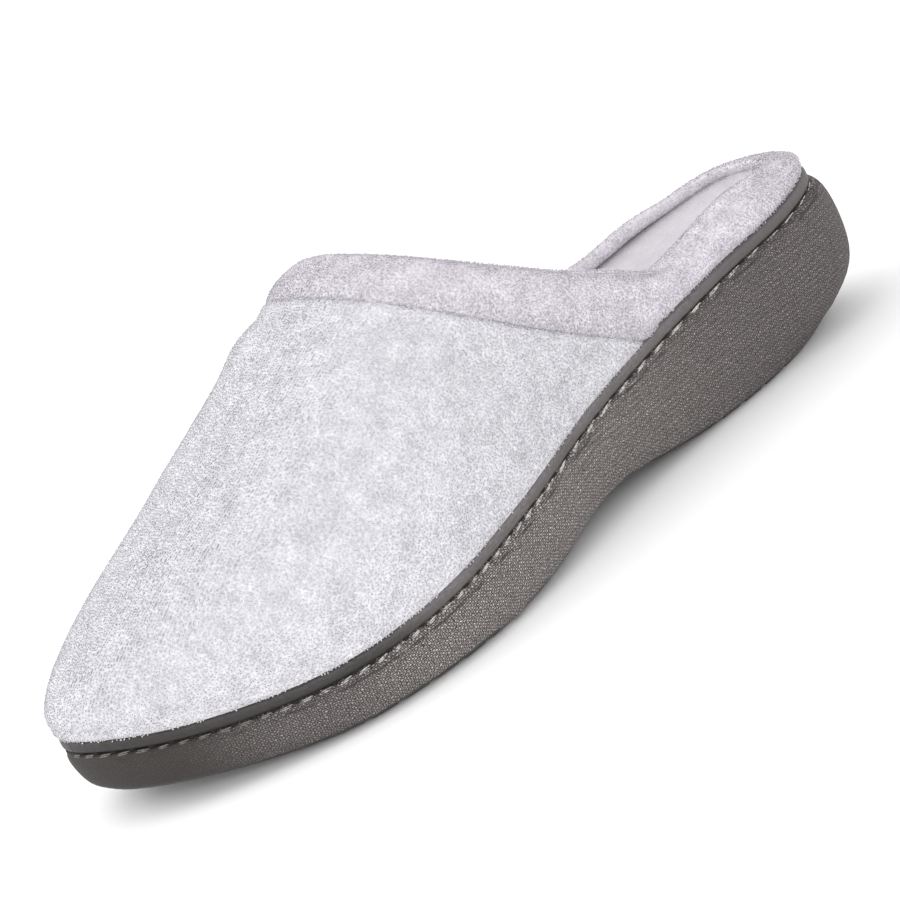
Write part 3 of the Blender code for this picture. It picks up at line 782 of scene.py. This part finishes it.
def blunt_loop(tree):
    """One loop of the pile, of unit size: a ball of few faces, widest near its tip, its foot in the cloth."""
    ball = add(tree, "GeometryNodeMeshUVSphere", {"Segments": 3, "Rings": 2, "Radius": 1.0}).outputs[0]
    height = own_place(tree)[2]
    raised = calc(tree, "MULTIPLY", calc(tree, "SUBTRACT", 1.0, calc(tree, "ABSOLUTE", height)), 0.5)
    lift = add(tree, "ShaderNodeCombineXYZ", {2: calc(tree, "ADD", raised, 0.55)}).outputs[0]
    return add(tree, "GeometryNodeSetPosition", {"Geometry": ball, "Offset": lift}).outputs[0]


def random_vector(tree, low, high, seed):
    inputs = {0: low, 1: high, "Seed": seed}
    return add(tree, "FunctionNodeRandomValue", inputs, data_type="FLOAT_VECTOR").outputs[0]


def pile_tree(name, look, tall, lean, nap, material):
    """Geometry nodes that cover a surface with short leaning loops and make them one mesh."""
    tree = bpy.data.node_groups.new(name, "GeometryNodeTree")
    tree.interface.new_socket("Geometry", in_out="INPUT", socket_type="NodeSocketGeometry")
    tree.interface.new_socket("Geometry", in_out="OUTPUT", socket_type="NodeSocketGeometry")
    covered = add(tree, "GeometryNodeInputNamedAttribute", {"Name": PILE}, data_type="FLOAT").outputs[0]
    scatter = add(
        tree,
        "GeometryNodeDistributePointsOnFaces",
        {
            "Mesh": add(tree, "NodeGroupInput").outputs[0],
            "Distance Min": look.spacing,
            "Density Max": 4.0 / look.spacing**2,
            "Density Factor": covered,
            "Seed": SEED,
        },
        distribute_method="POISSON",
    ).outputs
    combed = add(
        tree,
        "FunctionNodeAlignRotationToVector",
        {"Rotation": scatter["Rotation"], "Vector": nap},
        axis="X",
        pivot_axis="Z",
    ).outputs[0]
    tilt = random_vector(tree, (-0.35, lean - 0.25, -0.45), (0.35, lean + 0.25, 0.45), SEED + 1)
    turned = add(tree, "FunctionNodeEulerToRotation", {0: tilt}).outputs[0]
    both = {0: combed, 1: turned}
    leaning = add(tree, "FunctionNodeRotateRotation", both, rotation_space="LOCAL").outputs[0]
    least = (0.46 * look.wide, 0.46 * look.wide, 0.38 * tall)
    most = (0.66 * look.wide, 0.66 * look.wide, 0.56 * tall)
    size = random_vector(tree, least, most, SEED + 2)
    falloff = spread(tree, own_place(tree)[1], *WORN_SIDE, WORN_SIZE, 1.0)
    sized = add(tree, "ShaderNodeVectorMath", {0: size, "Scale": falloff}, operation="SCALE").outputs[0]
    loops = add(
        tree,
        "GeometryNodeInstanceOnPoints",
        {
            "Points": in_columns(tree, scatter["Points"], scatter["Normal"], look.column),
            "Instance": blunt_loop(tree),
            "Rotation": leaning,
            "Scale": sized,
        },
    ).outputs[0]
    real = add(tree, "GeometryNodeRealizeInstances", {"Geometry": loops}).outputs[0]
    soft = add(tree, "GeometryNodeSetShadeSmooth", {"Geometry": real}).outputs[0]
    made = add(tree, "GeometryNodeSetMaterial", {"Geometry": soft, "Material": material}).outputs[0]
    add(tree, "NodeGroupOutput", {0: made})
    return tree


def grow_pile(piece, look, tall, lean, nap, slot, layout):
    """Pile of a piece, as a piece of its own, laid out flat by a function of its points."""
    name = piece.name + "_pile"
    pile = bpy.data.objects.new(name, piece.data.copy())
    bpy.context.scene.collection.objects.link(pile)
    grow = pile.modifiers.new("grow", "NODES")
    grow.node_group = pile_tree(name, look, tall, lean, nap, piece.data.materials[0])
    freeze(pile)
    mesh = pile.data
    for old in list(mesh.uv_layers):
        mesh.uv_layers.remove(old)
    places = [layout(vert.co) for vert in mesh.vertices]
    flat = mesh.uv_layers.new(name=BAKE_MAP)
    flat.data.foreach_set("uv", [value for loop in mesh.loops for value in places[loop.vertex_index]])
    hand_over(pile, slot)
    return pile


def mark_pile(piece, covered):
    """Marks each face that grows pile, by a test of its middle and its normal."""
    marks = [float(covered(face.center, face.normal)) for face in piece.data.polygons]
    piece.data.attributes.new(PILE, "FLOAT", "FACE").data.foreach_set("value", marks)


def distance_to(node):
    """Function that measures from a point to the surface of a CAD node."""
    bm = node_copy(node)
    surface = BVHTree.FromBMesh(bm)
    bm.free()
    return lambda point: surface.find_nearest(point)[3]


def swell(piece, fullness):
    """Fills out a padded piece along its normals, by a function of place and normal."""
    moves = [vert.normal * fullness(vert.co, vert.normal) for vert in piece.data.vertices]
    for vert, move in zip(piece.data.vertices, moves):
        vert.co += move
    piece.data.update()


def ramp(value, start, end):
    """Smooth step from 0 at the start to 1 at the end."""
    share = max(0.0, min(1.0, (value - start) / (end - start)))
    return share * share * (3.0 - 2.0 * share)


def press_troughs(piece, troughs, level=False):
    """Presses soft troughs into a piece, both faces alike, and raises ridges in the same way."""
    mesh = piece.data
    for place, direction, half_length, half_width, depth in troughs:
        centre = Vector(place) * MM
        along = Vector(direction).normalized()
        nearest = min(mesh.vertices, key=lambda vert: (vert.co - centre).length_squared)
        inwards = -nearest.normal.copy()
        if level:
            inwards.z = 0.0
            inwards.normalize()
        for vert in mesh.vertices:
            offset = vert.co - centre
            run = offset.dot(along)
            aside = (offset - run * along).length
            fall = math.exp(-((run / (half_length * MM)) ** 2) - (aside / (half_width * MM)) ** 2)
            if fall > 0.01:
                vert.co += inwards * depth * MM * fall
    mesh.update()


class HOUSESHOE_OT_sole(bpy.types.Operator):
    """Wedge sole with its woven grain, and the rubber of its tread"""

    bl_idname = "house_shoe.sole"
    bl_label = "Sole"

    def execute(self, context):
        look = context.scene.house_shoe.sole
        bm = node_copy("outsole")
        crease_sharp(bm, weight=0.9)
        crease_flat(bm, [face for face in bm.faces if face.normal.z < TREAD_FACING])
        piece = add_piece("wedge_sole", bm, [wall_material(look), rubber_material(look)], levels=2)
        for face in piece.data.polygons:
            face.material_index = int(face.normal.z < TREAD_FACING)
        press_troughs(piece, SOLE_TROUGHS, level=True)
        lay_uv(piece, Outline(), look.level_rows)
        hand_over(piece, "sole", "outsole")
        return {"FINISHED"}


class HOUSESHOE_OT_binding(bpy.types.Operator):
    """Smooth binding strip between sole and cloth"""

    bl_idname = "house_shoe.binding"
    bl_label = "Binding"

    def execute(self, context):
        bm = node_copy("welt")
        crease_sharp(bm, weight=0.35)
        piece = add_piece("binding_strip", bm, [binding_material(context.scene.house_shoe.trim)], levels=2)
        lay_uv(piece, Outline(), -math.inf)
        hand_over(piece, "binding", "welt")
        return {"FINISHED"}


class HOUSESHOE_OT_stitches(bpy.types.Operator):
    """Row of stitches in the groove under the binding, with dark bodies of painted shade at the needle holes
    between them
    """

    bl_idname = "house_shoe.stitches"
    bl_label = "Stitches"

    @staticmethod
    def frame_at(outline, run, out_by, down_by):
        """Place beside the outline, turned along it, and set out and down from it."""
        place, along, out = outline.at(run)
        turn = Matrix((along, out, out.cross(along))).transposed().to_4x4()
        return Matrix.Translation(place + out * out_by + Vector((0.0, 0.0, -down_by))) @ turn

    @staticmethod
    def add_stitch(bm, seat, look, pitch, chance):
        """One stitch: two slim plies side by side, lying along the row."""
        slanted = seat @ Matrix.Rotation(look.slant + chance.uniform(-0.05, 0.05), 4, "Y")
        half_wide = look.thread_wide / 2.0
        half_long = 0.5 * look.stitch * pitch * chance.uniform(0.92, 1.04)
        half = Vector((half_long, half_wide, half_wide))
        lying = Matrix.Diagonal(half).to_4x4() @ Matrix.Rotation(math.pi / 2.0, 4, "Y")
        for ply in (-1.0, 1.0):
            aside = Matrix.Translation((ply * PLY_AHEAD * half.x, 0.0, ply * PLY_ASIDE * look.thread_wide))
            twist = Matrix.Rotation(-0.02 + chance.uniform(-0.04, 0.04), 4, "Y")
            place = slanted @ aside @ twist @ lying
            bmesh.ops.create_uvsphere(bm, u_segments=6, v_segments=6, radius=1.0, matrix=place)

    def execute(self, context):
        look = context.scene.house_shoe.trim
        outline = Outline()
        chance = random.Random(SEED)
        bm = bmesh.new()
        run = 0.0
        while run < outline.total - look.pitch:
            longer = ramp(outline.at(run)[0].x, *LONG_STITCHES)
            pitch = look.pitch + (look.heel_pitch - look.pitch) * longer
            seat = self.frame_at(outline, run, look.stitch_out, look.stitch_drop)
            self.add_stitch(bm, seat, look, pitch, chance)
            threads = len(bm.faces)
            # Dark body in the needle hole between two stitches: painted shade where the thread dives in
            out_by = look.stitch_out - HOLE_SUNK
            sunk = self.frame_at(outline, run + pitch / 2.0, out_by, HOLE_DROP * look.stitch_drop)
            hollow = Matrix.Diagonal((HOLE_HALF[0] * pitch, HOLE_HALF[1], HOLE_HALF[2], 1.0))
            bmesh.ops.create_uvsphere(bm, u_segments=6, v_segments=4, radius=1.0, matrix=sunk @ hollow)
            bm.faces.ensure_lookup_table()
            for face in bm.faces[threads:]:
                face.material_index = 1
            run += pitch
        bmesh.ops.recalc_face_normals(bm, faces=bm.faces)
        hole, _, _ = new_material("needle_hole_shade", base_color=look.hole, roughness=0.9, specular_ior_level=0.1)
        piece = add_piece("stitches", bm, [thread_material(look), hole])
        hand_over(piece, "binding")
        return {"FINISHED"}


class HOUSESHOE_OT_insole(bpy.types.Operator):
    """Padded sock insole in smooth brushed cloth"""

    bl_idname = "house_shoe.insole"
    bl_label = "Insole"

    def execute(self, context):
        bm = node_copy("insole")
        crease_sharp(bm, weight=0.3)
        piece = add_piece("sock_insole", bm, [sock_material(context.scene.house_shoe.terry)], levels=2)
        to_cuff = distance_to("cuff")

        def fullness(place, normal):
            """Full beside the cuff."""
            return (INSOLE_FULL - INSOLE_DRAWN * ramp(to_cuff(place), *INSOLE_REACH)) * MM

        swell(piece, fullness)
        hand_over(piece, "sock_terry", "insole")
        return {"FINISHED"}


class HOUSESHOE_OT_vamp(bpy.types.Operator):
    """Terry vamp with its pile outside and its lining inside"""

    bl_idname = "house_shoe.vamp"
    bl_label = "Vamp"

    def execute(self, context):
        look = context.scene.house_shoe.terry
        bm = node_copy("upper")
        crease_sharp(bm, weight=0.6)
        cloth = cloth_material("terry", look.light, look.dark, look.patch, look.loop, TERRY_DEPTH)
        piece = add_piece("terry_vamp", bm, [cloth, sock_material(look)], levels=2)

        def outside(middle, normal):
            """Whether a face looks away from the foot."""
            core = Vector((min(middle.x, FOOT_FRONT), FOOT_MIDDLE, FOOT_HEIGHT))
            return normal.dot(middle - core) > 0.0

        to_cuff = distance_to("cuff")
        to_strip = distance_to("welt")

        def fullness(place, normal):
            """Full along the seams and drawn in between them; the lining stays."""
            if not outside(place, normal):
                return 0.0
            to_seam = min(to_cuff(place), to_strip(place))
            return (VAMP_FULL - VAMP_DRAWN * ramp(to_seam, *VAMP_REACH)) * MM

        swell(piece, fullness)
        press_troughs(piece, VAMP_TROUGHS)

        def layout(place):
            """Flat place: along the shoe, and round it."""
            turn = math.atan2(place.y - VAMP_AXIS[0], place.z - VAMP_AXIS[1])
            return (place.x / VAMP_LONG + VAMP_SHIFT, 0.5 + VAMP_TURN * turn)

        for face in piece.data.polygons:
            face.material_index = int(not outside(face.center, face.normal))
        mark_pile(piece, lambda place, normal: outside(place, normal) and to_strip(place) > PILE_MARGIN)
        hand_over(piece, "terry", "upper")
        pile = grow_pile(piece, look, look.tall, LOOP_LEAN, (0.6, 0.0, -1.0), "terry", layout)
        return {"FINISHED"}


class HOUSESHOE_OT_cuff(bpy.types.Operator):
    """Padded terry cuff round the instep and the heel"""

    bl_idname = "house_shoe.cuff"
    bl_label = "Cuff"

    def execute(self, context):
        look = context.scene.house_shoe.terry
        bm = node_copy("cuff")
        light, dark = look.cuff_light, look.cuff_dark
        cloth = cloth_material("cuff_terry", light, dark, look.patch, look.loop, TERRY_DEPTH)
        piece = add_piece("padded_cuff", bm, [cloth], levels=2)

        def fullness(place, normal):
            """Full on the inner side, more so at the heel, and drawn in outside."""
            core = Vector((max(OPENING[0], min(OPENING[1], place.x)), FOOT_MIDDLE, place.z))
            inner = ramp(normal.dot((core - place).normalized()), -0.5, 0.6)
            heel = ramp(place.x, *RIM_TO_HEEL)
            near = heel * ramp(place.y, *NEAR_RIM) * max(0.0, normal.z)
            return (-CUFF_DRAWN + inner * (CUFF_INNER + CUFF_HEEL * heel) + CUFF_NEAR * near) * MM

        to_vamp = distance_to("upper")
        # Painted shade of the cuff near its seam with the vamp, kept as an attribute for its cloth
        seam_shade_share = [1.0 - ramp(to_vamp(vert.co), *SEAM_SHADE_REACH) for vert in piece.data.vertices]
        piece.data.attributes.new(SEAM_SHADE, "FLOAT", "POINT").data.foreach_set("value", seam_shade_share)
        swell(piece, fullness)
        press_troughs(piece, CUFF_TROUGHS)

        def layout(place):
            """Flat place: round the opening, and up."""
            turn = math.atan2(place.y - CUFF_AXIS[1], place.x - CUFF_AXIS[0])
            return (0.5 + turn / math.tau, (place.z - CUFF_LOW) / CUFF_TALL)

        mark_pile(piece, lambda place, normal: normal.z > CUFF_UNDERSIDE or place.x > CUFF_COVERED)
        hand_over(piece, "terry", "cuff")
        grow_pile(piece, look, look.cuff_tall, LOOP_LEAN, (0.3, 0.0, -1.0), "terry", layout)
        return {"FINISHED"}


class HOUSESHOE_OT_stage(bpy.types.Operator):
    """Pale floor, soft light and the camera"""

    bl_idname = "house_shoe.stage"
    bl_label = "Stage"

    def execute(self, context):
        look = context.scene.house_shoe.stage
        bm = bmesh.new()
        bmesh.ops.create_grid(bm, x_segments=1, y_segments=1, size=FLOOR_HALF)
        finish, _, _ = new_material("floor", base_color=look.floor, roughness=0.9, specular_ior_level=0.2)
        floor = add_piece("floor", bm, [finish])
        world = bpy.data.worlds.new("room")
        world.use_nodes = True
        room = world.node_tree.nodes["Background"]
        room.inputs["Color"].default_value = look.sky
        room.inputs["Strength"].default_value = look.room_light
        context.scene.world = world
        context.scene.view_settings.view_transform = "Standard"
        target = Vector(look.target)
        key = bpy.data.lights.new("key", "SUN")
        key.energy = look.key_light
        key.angle = KEY_SPREAD
        fill = bpy.data.lights.new("fill", "AREA")
        fill.energy = look.fill_power
        rim = bpy.data.lights.new("rim", "AREA")
        rim.energy = look.rim_power
        fill.size = LAMP_SIZE
        rim.size = LAMP_SIZE
        for light, place in ((key, KEY_PLACE), (fill, FILL_PLACE), (rim, RIM_PLACE)):
            lamp = bpy.data.objects.new(light.name, light)
            lamp.location = place
            lamp.rotation_euler = (target - Vector(place)).to_track_quat("-Z", "Y").to_euler()
            context.scene.collection.objects.link(lamp)
        camera = bpy.data.objects.new("camera", bpy.data.cameras.new("camera"))
        camera.data.lens = look.lens
        camera.data.sensor_width = SENSOR
        back = Vector(
            (
                math.sin(look.azimuth) * math.cos(look.elevation),
                -math.cos(look.azimuth) * math.cos(look.elevation),
                math.sin(look.elevation),
            )
        )
        facing = (-back).to_track_quat("-Z", "Y").to_matrix().to_4x4()
        rolled = facing @ Matrix.Rotation(look.roll, 4, "Z")
        camera.matrix_world = Matrix.Translation(target + back * look.distance) @ rolled
        context.scene.collection.objects.link(camera)
        context.scene.camera = camera
        return {"FINISHED"}


PIECES = (
    HOUSESHOE_OT_stage,
    HOUSESHOE_OT_sole,
    HOUSESHOE_OT_binding,
    HOUSESHOE_OT_stitches,
    HOUSESHOE_OT_insole,
    HOUSESHOE_OT_vamp,
    HOUSESHOE_OT_cuff,
)


class HOUSESHOE_PT_pieces(bpy.types.Panel):
    """Lists the pieces of the house shoe"""

    bl_label = "House shoe"
    bl_idname = "HOUSESHOE_PT_pieces"
    bl_space_type = "VIEW_3D"
    bl_region_type = "UI"
    bl_category = "House shoe"

    def draw(self, context):
        for piece in PIECES:
            self.layout.operator(piece.bl_idname)
        for name in ("terry", "trim", "sole", "stage"):
            box = self.layout.box()
            group = getattr(context.scene.house_shoe, name)
            for prop in group.bl_rna.properties:
                if not prop.is_readonly and prop.identifier != "name":
                    box.prop(group, prop.identifier)


CLASSES = (TerryLook, TrimLook, SoleLook, StageLook, HouseShoeLook, *PIECES, HOUSESHOE_PT_pieces)


def register():
    for cls in CLASSES:
        bpy.utils.register_class(cls)
    bpy.types.Scene.house_shoe = PointerProperty(type=HouseShoeLook)


def unregister():
    del bpy.types.Scene.house_shoe
    for cls in reversed(CLASSES):
        bpy.utils.unregister_class(cls)


def main():
    register()
    for piece in PIECES:
        group, name = piece.bl_idname.split(".")
        getattr(getattr(bpy.ops, group), name)()


if __name__ == "__main__":
    main()
